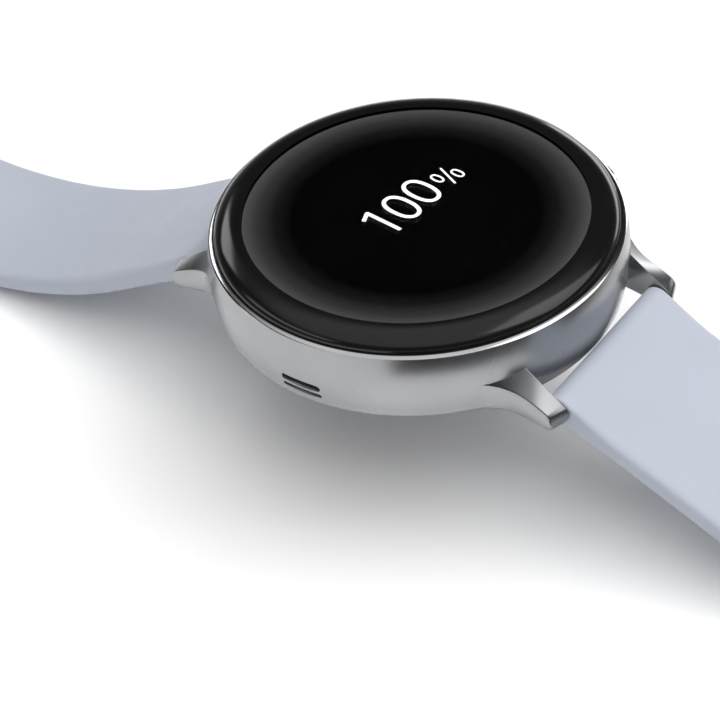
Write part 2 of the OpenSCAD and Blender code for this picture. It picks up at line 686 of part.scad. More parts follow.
module bar_spring() {
    start = head_x - plunger_travel - spring_room - film_gap;
    pitch = spring_room / spring_turns;
    wire_r = pitch / 2;
    for (k = [0:spring_turns - 1]) translate([start + pitch * (k + 0.5), 0, 0]) rotate([0, 90, 0])
        rotate_extrude() translate([head_r - wire_r, 0]) circle(r = wire_r, $fn = 16);
}
module upper_bar_tube() { color([0.7, 0.7, 0.72]) at_bar(1, buckle_half_fall) bar_tube(); }
module upper_bar_plunger() { color([0.6, 0.6, 0.62]) at_bar(1, buckle_half_fall) bar_plunger(); }
module upper_bar_spring() { color([0.5, 0.5, 0.5]) at_bar(1, buckle_half_fall) bar_spring(); }
module lower_bar_tube() { color([0.7, 0.7, 0.72]) at_bar(-1, hole_half_fall) bar_tube(); }
module lower_bar_plunger() { color([0.6, 0.6, 0.62]) at_bar(-1, hole_half_fall) bar_plunger(); }
module lower_bar_spring() { color([0.5, 0.5, 0.5]) at_bar(-1, hole_half_fall) bar_spring(); }

// ---- buckle ----
module buckle_pin() {
    w = frame_in_w / 2 + frame_arm_w - 0.3;
    color([0.7, 0.7, 0.72]) in_place() at_buckle() along_x(-w, w, pin_radius);
}
module buckle_frame() {
    out_w = frame_in_w + 2 * frame_arm_w;
    color([0.68, 0.69, 0.71]) in_place() at_buckle() difference() {
        translate([0, 0, -frame_half_t]) linear_extrude(2 * frame_half_t) difference() {
            union() {
                translate([-out_w / 2, -frame_back]) square([out_w, frame_len + frame_back - frame_corner]);
                translate([-out_w / 2 + frame_corner, 0]) square([out_w - 2 * frame_corner, frame_len]);
                for (x = [-1, 1]) translate([x * (out_w / 2 - frame_corner), frame_len - frame_corner])
                    circle(r = frame_corner);
            }
            translate([-frame_in_w / 2, -2 * frame_back])
                square([frame_in_w, frame_len + 2 * frame_back - frame_bar_w]);
        }
        along_x(-out_w, out_w, pin_radius + run_gap);
    }
}
module buckle_tongue() {
    low = frame_half_t + run_gap;
    top = low + tongue_t;
    color([0.68, 0.69, 0.71]) in_place() at_buckle() difference() {
        union() {
            along_x(-tongue_w / 2, tongue_w / 2, hub_r);
            translate([-tongue_w / 2, 0, 0]) rotate([90, 0, 90]) linear_extrude(tongue_w)
                polygon([[-0.4, 0.9], [0.2, hub_r - cut], [frame_len - 2.6, top], [frame_len - 0.5, top],
                         [frame_len - 0.2, top - 0.4], [frame_len - 0.4, low], [frame_len - 2.6, low],
                         [1.1, 0.2]]);
        }
        along_x(-tongue_w, tongue_w, pin_radius + run_gap);
    }
}
module keeper() {
    inner = [strap_end_w + 0.3, 2 * strap_t + 0.5];
    color([0.72, 0.75, 0.81]) in_place() at_buckle()
        translate([0, -keeper_from_pin, strap_t / 2 + 0.1]) rotate([90, 0, 0])
            translate([0, 0, -keeper_len / 2]) linear_extrude(keeper_len) difference() {
                square(inner + 2 * [keeper_wall, keeper_wall], center = true);
                square(inner, center = true);
            }
}

case();
crystal();
touch_ring();
display_panel();
display_seal();
inner_frame();
frame_screws();
main_board();
board_chips();
shield_can();
display_flex();
battery();
speaker();
speaker_mesh();
microphone();
motor_can();
motor_rotor();
charging_coil();
ferrite_sheet();
sensor_board();
sensor_leds();
sensor_window();
back_cover();
back_seal();
upper_button();
lower_button();
button_seals();
upper_button_clip();
lower_button_clip();
button_flex();
button_switches();
buckle_strap();
hole_strap();
upper_bar_tube();
upper_bar_plunger();
upper_bar_spring();
lower_bar_tube();
lower_bar_plunger();
lower_bar_spring();
buckle_pin();
buckle_frame();
buckle_tongue();
keeper();
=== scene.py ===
# Round smartwatch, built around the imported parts.
# Lengths in the dictionaries are millimetres, angles are degrees, and mm() turns a length into metres.
import math

import bmesh
import bpy
from mathutils import Matrix, Vector


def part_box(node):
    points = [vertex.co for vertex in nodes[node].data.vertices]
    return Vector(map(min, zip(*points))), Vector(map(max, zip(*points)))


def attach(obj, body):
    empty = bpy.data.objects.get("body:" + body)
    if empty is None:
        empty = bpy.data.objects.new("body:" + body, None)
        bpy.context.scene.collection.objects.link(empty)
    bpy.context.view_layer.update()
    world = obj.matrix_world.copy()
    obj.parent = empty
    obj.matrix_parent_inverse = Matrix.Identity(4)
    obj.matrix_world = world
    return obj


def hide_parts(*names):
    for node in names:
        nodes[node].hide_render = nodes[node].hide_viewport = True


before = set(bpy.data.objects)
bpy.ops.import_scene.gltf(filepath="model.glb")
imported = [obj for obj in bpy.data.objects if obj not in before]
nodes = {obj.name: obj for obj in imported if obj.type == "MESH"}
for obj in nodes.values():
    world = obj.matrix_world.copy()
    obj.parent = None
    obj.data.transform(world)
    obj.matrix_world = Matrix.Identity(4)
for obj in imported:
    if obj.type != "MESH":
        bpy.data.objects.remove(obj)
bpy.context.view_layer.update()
print("frame loaded,", len(nodes), "nodes")


def mm(length):
    return length / 1000


def middle(node):
    low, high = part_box(node)
    return (low + high) / 2


# the watch's own axes: origin on the back glass, on the case axis
watchOrigin = Vector((0, middle("sensor_window").y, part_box("sensor_window")[0].z))


def atWatch(x, y, z):
    return watchOrigin + Vector((mm(x), mm(y), mm(z)))


# helpers that build and trim meshes
def addMesh(name, points, faces, sharpAngle=35):
    mesh = bpy.data.meshes.new(name)
    mesh.from_pydata([tuple(p) for p in points], [], faces)
    piece = bpy.data.objects.new(name, mesh)
    bpy.context.scene.collection.objects.link(piece)
    tidyMesh(piece, sharpAngle)
    return piece


def tidyMesh(piece, sharpAngle=35):
    bm = bmesh.new()
    bm.from_mesh(piece.data)
    bmesh.ops.remove_doubles(bm, verts=bm.verts, dist=mm(0.002))
    bmesh.ops.dissolve_degenerate(bm, edges=bm.edges, dist=mm(0.002))
    bmesh.ops.recalc_face_normals(bm, faces=bm.faces)
    for face in bm.faces:
        face.smooth = True
    for edge in bm.edges:
        edge.smooth = len(edge.link_faces) == 2 and edge.calc_face_angle(3.14) < math.radians(sharpAngle)
    bm.to_mesh(piece.data)
    bm.free()


def latheMesh(name, profile, steps=192, sharpAngle=35):
    # profile holds (radius, height) pairs on the watch's axis, and the first and last may lie on the axis
    points, faces = [], []
    count = len(profile)
    for k in range(steps):
        turn = 2 * math.pi * k / steps
        points += [atWatch(r * math.cos(turn), r * math.sin(turn), z) for r, z in profile]
    for k in range(steps):
        after = (k + 1) % steps
        for i in range(count - 1):
            faces.append((k * count + i, after * count + i, after * count + i + 1, k * count + i + 1))
    return addMesh(name, points, faces, sharpAngle)


def loftMesh(name, rings, closed=False, sharpAngle=35):
    # joins rings of the same number of points, and caps both ends unless the loft is closed
    count = len(rings[0])
    points = [p for ring in rings for p in ring]
    faces = []
    last = len(rings) if closed else len(rings) - 1
    for k in range(last):
        after = (k + 1) % len(rings)
        for i in range(count):
            j = (i + 1) % count
            faces.append((k * count + i, k * count + j, after * count + j, after * count + i))
    if not closed:
        faces.append(tuple(range(count)))
        faces.append(tuple(range((len(rings) - 1) * count, len(rings) * count))[::-1])
    return addMesh(name, points, faces, sharpAngle)


def combine(piece, others, operation):
    # joins the others to the piece, or cuts them out of it, one after another
    for other in others:
        step = piece.modifiers.new("combine", "BOOLEAN")
        step.operation = operation
        step.solver = "EXACT"
        step.object = other
        bpy.context.view_layer.update()
        mesh = bpy.data.meshes.new_from_object(piece.evaluated_get(bpy.context.evaluated_depsgraph_get()))
        piece.modifiers.clear()
        piece.data = mesh
        bpy.data.objects.remove(other)


def cutAway(piece, cutters, sharpAngle=35):
    combine(piece, cutters, "DIFFERENCE")
    tidyMesh(piece, sharpAngle)


def pillRings(place, levels, wide, long, steps=28):
    # rings of a pill-shaped plug: place(across, along, level) gives a point,
    # and levels holds (level, growth) pairs
    rings = []
    for level, grow in levels:
        ring = []
        radius = wide / 2 + grow
        for k in range(steps):
            a = 2 * math.pi * k / steps
            shift = (long - wide) / 2 * (1 if math.sin(a) > 0 else -1)
            ring.append(place(radius * math.cos(a), radius * math.sin(a) + shift, level))
        rings.append(ring)
    return rings


def softenEdges(piece, width):
    bevel = piece.modifiers.new("softEdges", "BEVEL")
    bevel.width = mm(width)
    bevel.segments = 2
    bevel.limit_method = "ANGLE"
    bevel.angle_limit = math.radians(32)
    bevel.harden_normals = False


# camera
cameraPlace = dict(target=(-21.6, -7.9, 10.6), distance=268.4, heading=52.19, dip=40.66, roll=-5.38,
                   lens=141.45)


def addCamera(place):
    heading, dip, roll = (math.radians(place[k]) for k in ("heading", "dip", "roll"))
    ahead = Vector((math.sin(heading) * math.cos(dip), math.cos(heading) * math.cos(dip), -math.sin(dip)))
    right = Vector((math.cos(heading), -math.sin(heading), 0))
    up = right.cross(ahead)
    tiltedRight = right * math.cos(roll) + up * math.sin(roll)
    tiltedUp = tiltedRight.cross(ahead)
    data = bpy.data.cameras.new("camera")
    data.lens = place["lens"]
    data.sensor_width = 36
    data.clip_start = 0.01
    camera = bpy.data.objects.new("camera", data)
    spot = atWatch(*place["target"]) - ahead * mm(place["distance"])
    turn = Matrix((tiltedRight, tiltedUp, -ahead)).transposed()
    camera.matrix_world = Matrix.Translation(spot) @ turn.to_4x4()
    bpy.context.scene.collection.objects.link(camera)
    bpy.context.scene.camera = camera


addCamera(cameraPlace)
print("camera set")


# studio: lamps, sky, floor and a dark card for the metal to mirror
studio = dict(
    # the sky as (height, shade) pairs: height 0 is straight down, 0.5 level and 1 straight up
    sky=((0.45, 0.9), (0.52, 0.25), (0.66, 0.005), (0.85, 0.005), (0.92, 0.55)),
    top=dict(place=(60, -190, 590), aim=(0, 0, 0), size=(900, 760), power=4.2, mirrored=False),
    fill=dict(place=(-380, -260, 380), aim=(0, 0, 0), size=(420, 420), power=0.9, mirrored=False),
    left=dict(place=(-353, 318, 297), aim=(0, 0, 10), size=(520, 120), power=0.3, mirrored=True),
    back=dict(place=(176, 483, 309), aim=(0, 0, 10), size=(200, 140), power=0.25, mirrored=True),
    front=dict(place=(237, -283, 473), aim=(0, 0, 10), size=(420, 420), power=0.95, mirrored=True),
    edge=dict(place=(596, 0, 73), aim=(0, 0, 10), size=(480, 130), power=0.6, mirrored=True),
    floor=dict(reach=4000, drop=0.05, shade=0.93, roughness=0.7),
    card=dict(inner=58, outer=420, start=95, end=250, height=-13.8, shade=0.02),
)


def addSoftbox(name, box):
    data = bpy.data.lights.new(name, "AREA")
    data.shape = "RECTANGLE"
    data.size, data.size_y = mm(box["size"][0]), mm(box["size"][1])
    data.energy = box["power"]
    lamp = bpy.data.objects.new(name, data)
    spot = atWatch(*box["place"])
    lamp.location = spot
    lamp.rotation_mode = "QUATERNION"
    lamp.rotation_quaternion = (atWatch(*box["aim"]) - spot).to_track_quat("-Z", "Y")
    lamp.visible_glossy = box["mirrored"]  # an unmirrored box lights the scene without showing in the glass
    bpy.context.scene.collection.objects.link(lamp)


def addSky(shades):
    world = bpy.data.worlds.new("studio")
    bpy.context.scene.world = world
    world.use_nodes = True
    tree = world.node_tree
    back = tree.nodes["Background"]
    place = tree.nodes.new("ShaderNodeTexCoord")
    split = tree.nodes.new("ShaderNodeSeparateXYZ")
    spread = tree.nodes.new("ShaderNodeMapRange")
    ramp = tree.nodes.new("ShaderNodeValToRGB")
    spread.inputs["From Min"].default_value = -1
    tree.links.new(place.outputs["Generated"], split.inputs[0])
    tree.links.new(split.outputs["Z"], spread.inputs["Value"])
    tree.links.new(spread.outputs["Result"], ramp.inputs["Fac"])
    tree.links.new(ramp.outputs["Color"], back.inputs["Color"])
    stops = ramp.color_ramp.elements
    stops.remove(stops[1])
    for k, (height, shade) in enumerate(shades):
        stop = stops.new(height) if k else stops[0]
        stop.position = height
        stop.color = (shade,) * 3 + (1,)


def plainMaterial(name, shade, roughness=0.5):
    material = bpy.data.materials.new(name)
    material.use_nodes = True
    shader = material.node_tree.nodes["Principled BSDF"]
    shader.inputs["Base Color"].default_value = (shade,) * 3 + (1,)
    shader.inputs["Roughness"].default_value = roughness
    return material


def addFloor(floor):
    reach, low = mm(floor["reach"]), -mm(floor["drop"])
    corners = [(-reach, -reach, low), (reach, -reach, low), (reach, reach, low), (-reach, reach, low)]
    piece = addMesh("floor", corners, [(0, 1, 2, 3)])
    piece.data.materials.append(plainMaterial("floorWhite", floor["shade"], floor["roughness"]))


def addCard(card):
    # a dark card in front of the watch that only shows as a soft shade in the metal's reflections
    points, faces = [], []
    steps = 24
    for k in range(steps + 1):
        turn = math.radians(card["start"] + (card["end"] - card["start"]) * k / steps)
        for r in (card["inner"], card["outer"]):
            points.append(atWatch(r * math.sin(turn), r * math.cos(turn), card["height"]))
    for k in range(steps):
        faces.append((2 * k, 2 * k + 1, 2 * k + 3, 2 * k + 2))
    piece = addMesh("shadeCard", points, faces)
    piece.data.materials.append(plainMaterial("cardGrey", card["shade"]))
    piece.visible_camera = piece.visible_diffuse = False
    piece.visible_shadow = piece.visible_transmission = False


for boxName in ("top", "fill", "left", "back", "front", "edge"):
    addSoftbox(boxName + "Softbox", studio[boxName])
addSky(studio["sky"])
addFloor(studio["floor"])
addCard(studio["card"])
bpy.context.scene.view_settings.view_transform = "Standard"
print("studio set")


# finishes
class Finish:
    # a material under construction: shader, nodes and links at hand
    def __init__(self, name, colour, roughness, metallic=0.0, **sockets):
        self.material = bpy.data.materials.new(name)
        self.material.use_nodes = True
        self.tree = self.material.node_tree
        self.shader = self.tree.nodes["Principled BSDF"]
        self.place = self.tree.nodes.new("ShaderNodeTexCoord").outputs["Object"]
        self.colour = colour
        self.set("Base Color", (*colour, 1))
        self.set("Roughness", roughness)
        self.set("Metallic", metallic)
        for socket, value in sockets.items():
            self.set(socket.replace("_", " "), value)

    def set(self, socket, value):
        self.shader.inputs[socket].default_value = value

    def link(self, a, b):
        self.tree.links.new(a, b)

    def noise(self, size, detail=3.0, stretch=(1, 1, 1)):
        # cloudy pattern whose blobs are about size millimetres across
        scale = self.tree.nodes.new("ShaderNodeMapping")
        scale.inputs["Scale"].default_value = stretch
        self.link(self.place, scale.inputs["Vector"])
        noise = self.tree.nodes.new("ShaderNodeTexNoise")
        noise.inputs["Scale"].default_value = 1 / mm(size)
        noise.inputs["Detail"].default_value = detail
        self.link(scale.outputs["Vector"], noise.inputs["Vector"])
        return noise.outputs["Fac"]

    def cells(self, size, randomness=1.0):
        cells = self.tree.nodes.new("ShaderNodeTexVoronoi")
        cells.inputs["Scale"].default_value = 1 / mm(size)
        cells.inputs["Randomness"].default_value = randomness
        self.link(self.place, cells.inputs["Vector"])
        return cells.outputs["Distance"]

    def stripes(self, size, axis):
        wave = self.tree.nodes.new("ShaderNodeTexWave")
        wave.bands_direction = axis
        wave.inputs["Scale"].default_value = 0.314 / mm(size)
        self.link(self.place, wave.inputs["Vector"])
        return wave.outputs["Fac"]

    def fromTo(self, value, low, high, start=0.0, end=1.0):
        spread = self.tree.nodes.new("ShaderNodeMapRange")
        spread.inputs["From Min"].default_value = start
        spread.inputs["From Max"].default_value = end
        spread.inputs["To Min"].default_value = low
        spread.inputs["To Max"].default_value = high
        self.link(value, spread.inputs["Value"])
        return spread.outputs["Result"]

    def tint(self, value, darker, lighter, start=0.35, end=0.65):
        ramp = self.tree.nodes.new("ShaderNodeValToRGB")
        stops = ramp.color_ramp.elements
        stops[0].position, stops[1].position = start, end
        stops[0].color = (*[c * darker for c in self.colour], 1)
        stops[1].color = (*[min(1, c * lighter) for c in self.colour], 1)
        self.link(value, ramp.inputs["Fac"])
        self.link(ramp.outputs["Color"], self.shader.inputs["Base Color"])
        return self

    def shine(self, value, low, high, start=0.35, end=0.65):
        self.link(self.fromTo(value, low, high, start, end), self.shader.inputs["Roughness"])
        return self

    def bump(self, value, depth, strength=0.5):
        # depth in millimetres
        bump = self.tree.nodes.new("ShaderNodeBump")
        bump.inputs["Strength"].default_value = strength
        bump.inputs["Distance"].default_value = mm(depth)
        self.link(value, bump.inputs["Height"])
        last = self.shader.inputs["Normal"]
        if last.is_linked:
            self.link(last.links[0].from_socket, bump.inputs["Normal"])
        self.link(bump.outputs["Normal"], last)
        return self


def satinAluminium():
    f = Finish("satinAluminium", (0.37, 0.375, 0.385), 0.26, 1.0)
    f.tint(f.noise(9.0, 1), 0.96, 1.03)
    return f.shine(f.noise(7.0, 1), 0.24, 0.28).material


def cutRim():
    f = Finish("cutRim", (0.86, 0.865, 0.88), 0.16, 1.0)
    f.tint(f.noise(5.0, 1), 0.96, 1.03)
    return f.shine(f.noise(6.0, 1), 0.15, 0.19).material


def buttonAluminium():
    f = Finish("buttonAluminium", (0.53, 0.535, 0.55), 0.25, 1.0)
    f.tint(f.noise(3.0), 0.95, 1.04)
    return f.shine(f.noise(0.9), 0.22, 0.28).material


def silicone():
    f = Finish("paleSilicone", (0.41, 0.441, 0.51), 0.52, Sheen_Weight=0.25, Sheen_Roughness=0.4,
               Specular_IOR_Level=0.42)
    f.set("Sheen Tint", (0.9, 0.93, 1.0, 1))
    f.tint(f.noise(16.0), 0.975, 1.02)
    f.shine(f.noise(1.6), 0.47, 0.57)
    f.bump(f.noise(2.4, 2), 0.02, 0.12)
    return f.bump(f.noise(0.09, 2), 0.006, 0.3).material


def clearGlass():
    f = Finish("clearGlass", (1, 1, 1), 0.02, Transmission_Weight=1.0, IOR=1.5)
    return f.shine(f.noise(7.0), 0.015, 0.04).material


def blackGlass():
    f = Finish("blackGlass", (0.006, 0.0062, 0.0058), 0.14, IOR=1.5)
    return f.shine(f.noise(8.0), 0.12, 0.17).material


def backGlass():
    f = Finish("backGlass", (0.25, 0.25, 0.27), 0.04, Transmission_Weight=0.85, IOR=1.5)
    return f.shine(f.noise(5.0), 0.03, 0.07).material


def backShell():
    f = Finish("backShell", (0.16, 0.165, 0.175), 0.14, 0.2, Coat_Weight=0.8, Coat_Roughness=0.05)
    f.tint(f.noise(7.0), 0.94, 1.05)
    return f.shine(f.noise(3.0), 0.1, 0.2).material


def blackRubber():
    f = Finish("blackRubber", (0.022, 0.022, 0.023), 0.6)
    f.tint(f.noise(1.5), 0.8, 1.25)
    return f.bump(f.noise(0.1), 0.01).material


def darkPlastic():
    f = Finish("darkPlastic", (0.05, 0.053, 0.06), 0.48)
    f.tint(f.noise(4.0), 0.9, 1.12)
    f.shine(f.noise(0.8), 0.42, 0.55)
    return f.bump(f.cells(0.25), 0.01, 0.3).material


def brightSteel():
    f = Finish("brightSteel", (0.6, 0.6, 0.61), 0.25, 1.0)
    f.tint(f.noise(2.0), 0.9, 1.06)
    f.shine(f.noise(0.25, 2, (8, 1, 1)), 0.18, 0.32)
    return f.bump(f.noise(0.1, 2, (10, 1, 1)), 0.003, 0.3).material


def circuitBoard():
    f = Finish("circuitBoard", (0.012, 0.085, 0.042), 0.32)
    f.tint(f.stripes(0.7, "X"), 0.75, 1.5, 0.3, 0.7)
    f.shine(f.stripes(0.7, "Y"), 0.25, 0.4)
    return f.bump(f.cells(0.9, 0.4), 0.03, 0.3).material


def blackBoard():
    f = Finish("blackBoard", (0.014, 0.014, 0.02), 0.3)
    f.tint(f.stripes(0.6, "Y"), 0.7, 1.5, 0.3, 0.7)
    return f.bump(f.cells(0.8, 0.4), 0.02, 0.3).material


def chipPlastic():
    f = Finish("chipPlastic", (0.018, 0.018, 0.02), 0.5)
    f.tint(f.noise(0.8), 0.8, 1.3)
    return f.bump(f.noise(0.08), 0.006, 0.5).material


def flexFilm():
    f = Finish("flexFilm", (0.55, 0.24, 0.035), 0.28)
    f.tint(f.stripes(0.4, "X"), 0.6, 1.1, 0.4, 0.6)
    return f.bump(f.stripes(0.4, "X"), 0.01, 0.4).material


def batteryFoil():
    f = Finish("batteryFoil", (0.07, 0.075, 0.09), 0.35, 0.35)
    f.tint(f.noise(5.0), 0.85, 1.15)
    f.shine(f.noise(1.2), 0.28, 0.45)
    return f.bump(f.noise(1.6), 0.05, 0.4).material


def wovenMesh():
    f = Finish("wovenMesh", (0.16, 0.16, 0.165), 0.4, 0.9)
    f.tint(f.cells(0.16, 0.0), 0.3, 1.5, 0.2, 0.5)
    return f.bump(f.cells(0.16, 0.0), 0.05, 0.8).material


def goldCap():
    f = Finish("goldCap", (0.72, 0.53, 0.26), 0.25, 1.0)
    f.tint(f.noise(0.9), 0.92, 1.05)
    return f.shine(f.noise(0.4), 0.2, 0.34).material


def tungsten():
    f = Finish("tungsten", (0.27, 0.255, 0.235), 0.45, 0.9)
    f.tint(f.noise(0.4), 0.85, 1.15)
    return f.bump(f.noise(0.15), 0.02, 0.5).material


def copperWire():
    f = Finish("copperWire", (0.78, 0.32, 0.12), 0.28, 0.95)
    f.tint(f.stripes(0.2, "Z"), 0.7, 1.1)
    return f.bump(f.noise(0.25), 0.02, 0.5).material


def ferrite():
    f = Finish("ferriteSheet", (0.05, 0.05, 0.053), 0.62)
    f.tint(f.noise(0.5), 0.8, 1.25)
    return f.bump(f.noise(0.2), 0.01, 0.5).material


def sensorLens():
    f = Finish("sensorLens", (0.62, 0.66, 0.5), 0.18, Coat_Weight=0.5)
    f.tint(f.cells(0.9, 0.3), 0.35, 1.1, 0.1, 0.6)
    return f.shine(f.noise(0.6), 0.12, 0.25).material


def blackFilm():
    f = Finish("blackFilm", (0.008, 0.008, 0.0085), 0.2)
    return f.shine(f.noise(2.5), 0.15, 0.28).material


screen = dict(litRadius=17.64, fadeFrom=12.6, edgeGlow=0.085, digitGlow=1.0)


def litScreen():
    # black display with a faint grey ring that fades in towards its edge
    f = Finish("litScreen", (0.0006, 0.0006, 0.0006), 0.12)
    centre = f.tree.nodes.new("ShaderNodeMapping")
    centre.inputs["Location"].default_value = -Vector((watchOrigin.x, watchOrigin.y, 0))
    centre.inputs["Scale"].default_value = (1, 1, 0)
    f.link(f.place, centre.inputs["Vector"])
    reach = f.tree.nodes.new("ShaderNodeVectorMath")
    reach.operation = "LENGTH"
    f.link(centre.outputs["Vector"], reach.inputs[0])
    along = f.fromTo(reach.outputs["Value"], 0, 1, mm(screen["fadeFrom"]), mm(screen["litRadius"]))
    ramp = f.tree.nodes.new("ShaderNodeValToRGB")
    stops = ramp.color_ramp.elements
    stops[0].color = (0, 0, 0, 1)
    stops[1].color = (screen["edgeGlow"],) * 3 + (1,)
    for place, share in ((0.35, 0.09), (0.7, 0.42)):
        stop = stops.new(place)
        stop.color = (screen["edgeGlow"] * share,) * 3 + (1,)
    f.link(along, ramp.inputs["Fac"])
    f.link(ramp.outputs["Color"], f.shader.inputs["Emission Color"])
    f.set("Emission Strength", 1.0)
    return f.material


def litDigits():
    f = Finish("litDigits", (0.8, 0.8, 0.8), 0.4)
    f.set("Emission Color", (1, 1, 1, 1))
    f.set("Emission Strength", screen["digitGlow"])
    f.tint(f.noise(0.2), 0.97, 1.03)
    return f.material


aluminium, buttonMetal, siliconeSkin, steel = satinAluminium(), buttonAluminium(), silicone(), brightSteel()
rubberBlack, plasticDark, flexAmber = blackRubber(), darkPlastic(), flexFilm()
nodeFinish = {
    "touch_ring": blackFilm(), "display_panel": litScreen(), "display_seal": rubberBlack,
    "inner_frame": plasticDark, "frame_screws": steel,
    "main_board": circuitBoard(), "board_chips": chipPlastic(), "shield_can": steel,
    "display_flex": flexAmber, "battery": batteryFoil(),
    "speaker": plasticDark, "speaker_mesh": wovenMesh(), "microphone": goldCap(),
    "motor_can": steel, "motor_rotor": tungsten(),
    "charging_coil": copperWire(), "ferrite_sheet": ferrite(),
    "sensor_board": blackBoard(), "sensor_leds": sensorLens(), "sensor_window": backGlass(),
    "back_cover": backShell(), "back_seal": rubberBlack,
    "upper_button": buttonMetal, "lower_button": buttonMetal, "button_seals": rubberBlack,
    "upper_button_clip": steel, "lower_button_clip": steel,
    "button_flex": flexAmber, "button_switches": steel,
    "upper_bar_tube": steel, "upper_bar_plunger": steel, "upper_bar_spring": steel,
    "lower_bar_tube": steel, "lower_bar_plunger": steel, "lower_bar_spring": steel,
    "buckle_pin": steel, "buckle_frame": buttonMetal, "buckle_tongue": buttonMetal,
}
for nodeName, material in nodeFinish.items():
    nodes[nodeName].data.materials.clear()
    nodes[nodeName].data.materials.append(material)
print("finishes made")


# case: barrel, lugs, button pockets, sound slots and screw columns
barrel = dict(
    wall=2.1, coverRadius=20.05, widestZ=6.0, steps=256,
    rimInset=0.35, rimCut=0.17, rimBow=0.03, rimLip=0.05, rimWide=0.55, pocketGap=0.1, shelfDrop=0.3,
    footInset=0.8, footZ=1.45, footRound=0.7,
)
lug = dict(
    inX=10.0, wide=2.15, topZ=2.03, lowZ=0.32, topFall=0.74, lowRise=0.16,
    creaseRun=7.6, creaseRise=3.2, creaseFall=0.385,
    fillet=6.0, topRound=0.45, lowRound=1.3, skew=0.8, skewRun=4.0, stations=44,
)
sidePorts = dict(
    buttonAngle=24.0, buttonLong=8.6, buttonWide=2.9, buttonFloor=20.25,
    stemBore=0.85, padIn=18.3, padWide=4.0,
    slotAngle=180, slotLong=4.5, slots=((4.0, 0.7), (2.95, 0.42)),  # slots holds (height, width) pairs
    micAngle=0, micZ=5.5, micBore=0.3,
    barBore=0.45, barHoleEnd=11.35,
    bossAngles=(50, 130, 230, 310), bossPlace=18.3, bossRadius=1.5, bossZ=3.4, bossHigh=2.0,
    screwBore=0.55,
)
caseLow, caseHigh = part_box("case")
rimZ = (caseHigh.z - watchOrigin.z) * 1000
lugTipY = (caseHigh.y - watchOrigin.y) * 1000
caseRadius = -caseLow.x * 1000
cavityRadius = caseRadius - barrel["wall"]
buttonZ = (middle("upper_button") - watchOrigin).z * 1000


def barrelRadius(z):
    widest = barrel["widestZ"]
    if z > widest:
        return caseRadius - barrel["rimInset"] * ((z - widest) / (rimZ - widest)) ** 2
    return caseRadius - barrel["footInset"] * ((widest - z) / (widest - barrel["footZ"])) ** 2


def barrelMesh():
    footRound = barrel["footRound"]
    low, rim = barrel["footZ"] + footRound, rimZ - barrel["rimCut"]
    footMiddle = barrelRadius(low) - footRound
    pocket = caseRadius - barrel["rimInset"] - barrel["rimWide"] + barrel["pocketGap"]
    profile = [(cavityRadius, barrel["footZ"])]
    for k in range(9):
        a = math.radians(90 * k / 8)
        profile.append((footMiddle + footRound * math.sin(a), low - footRound * math.cos(a)))
    for k in range(1, 30):
        z = low + (rim - low) * k / 30
        profile.append((barrelRadius(z), z))
    outer, inner = barrelRadius(rim), pocket + barrel["rimLip"]
    for k in range(7):
        # the rim's cut edge, bowed out a little between its two ends
        share = k / 6
        bow = barrel["rimBow"] * 4 * share * (1 - share)
        profile.append((outer + (inner - outer) * share + bow, rim + barrel["rimCut"] * share + bow))
    shelf = rimZ - barrel["shelfDrop"]
    profile += [(pocket, rimZ - barrel["rimLip"]), (pocket, shelf), (cavityRadius, shelf), profile[0]]
    return latheMesh("caseShell", profile, barrel["steps"])


def softCorners(corners, steps=4):
    # corners are (x, z, rounding) going round the outline, each turned into a short curve
    outline = []
    for i, (x, z, rounding) in enumerate(corners):
        corner = Vector((x, z))
        ends = []
        for other in (corners[i - 1], corners[(i + 1) % len(corners)]):
            away = Vector(other[:2]) - corner
            ends.append(corner + away * min(0.45, rounding / max(away.length, 0.001)))
        for k in range(steps + 1):
            t = k / steps
            outline.append(ends[0] * (1 - t) ** 2 + corner * (2 * t * (1 - t)) + ends[1] * t ** 2)
    return outline


def lugSection(y):
    tipY, wide = lugTipY, lug["wide"]

    def roundOff(run):
        d = max(0.0, y - tipY + run) / run
        return run * (1 - math.sqrt(max(0.0, 1 - d * d)))

    def side(z, grow):
        # the lug's outer side: straight near the tip, then a round fillet that runs into the barrel
        meet = barrelRadius(z) - 0.02
        filletX = lug["inX"] + wide + lug["fillet"]
        filletY = math.sqrt((meet + lug["fillet"]) ** 2 - filletX ** 2)
        touchY = filletY * meet / (meet + lug["fillet"])
        back = min(lug["fillet"], max(0.0, filletY - max(y, touchY)))
        swell = grow * min(1.0, max(0.0, (y - touchY) / 4))
        return filletX - math.sqrt(lug["fillet"] ** 2 - back ** 2) + swell

    top = lug["topZ"] + lug["topFall"] * (tipY - y) - roundOff(lug["topRound"])
    crease = lug["topZ"] + lug["creaseRise"] - lug["creaseFall"] * (y - tipY + lug["creaseRun"])
    low = lug["lowZ"] + lug["lowRise"] * max(0.0, tipY - lug["lowRound"] - y) + roundOff(lug["lowRound"])
    top = max(top, low + 0.3)
    crease = max(low + 0.28, min(crease - roundOff(lug["topRound"]), top))
    upper, lower = (2 * crease + low) / 3, (crease + 2 * low) / 3
    corners = [(lug["inX"], low, 0.3), (lug["inX"], top, 0.1), (side(crease, -0.05), crease, 0.1),
               (side(upper, 0.12), upper, 0.8), (side(lower, 0.06), lower, 0.8),
               (side(low + 0.3, -0.3), low, 0.6)]
    back = lug["skew"] * max(0.0, (y - tipY + lug["skewRun"]) / lug["skewRun"]) ** 2
    return [(p.x, y - back * (p.x - lug["inX"]) / wide, p.y) for p in softCorners(corners)]


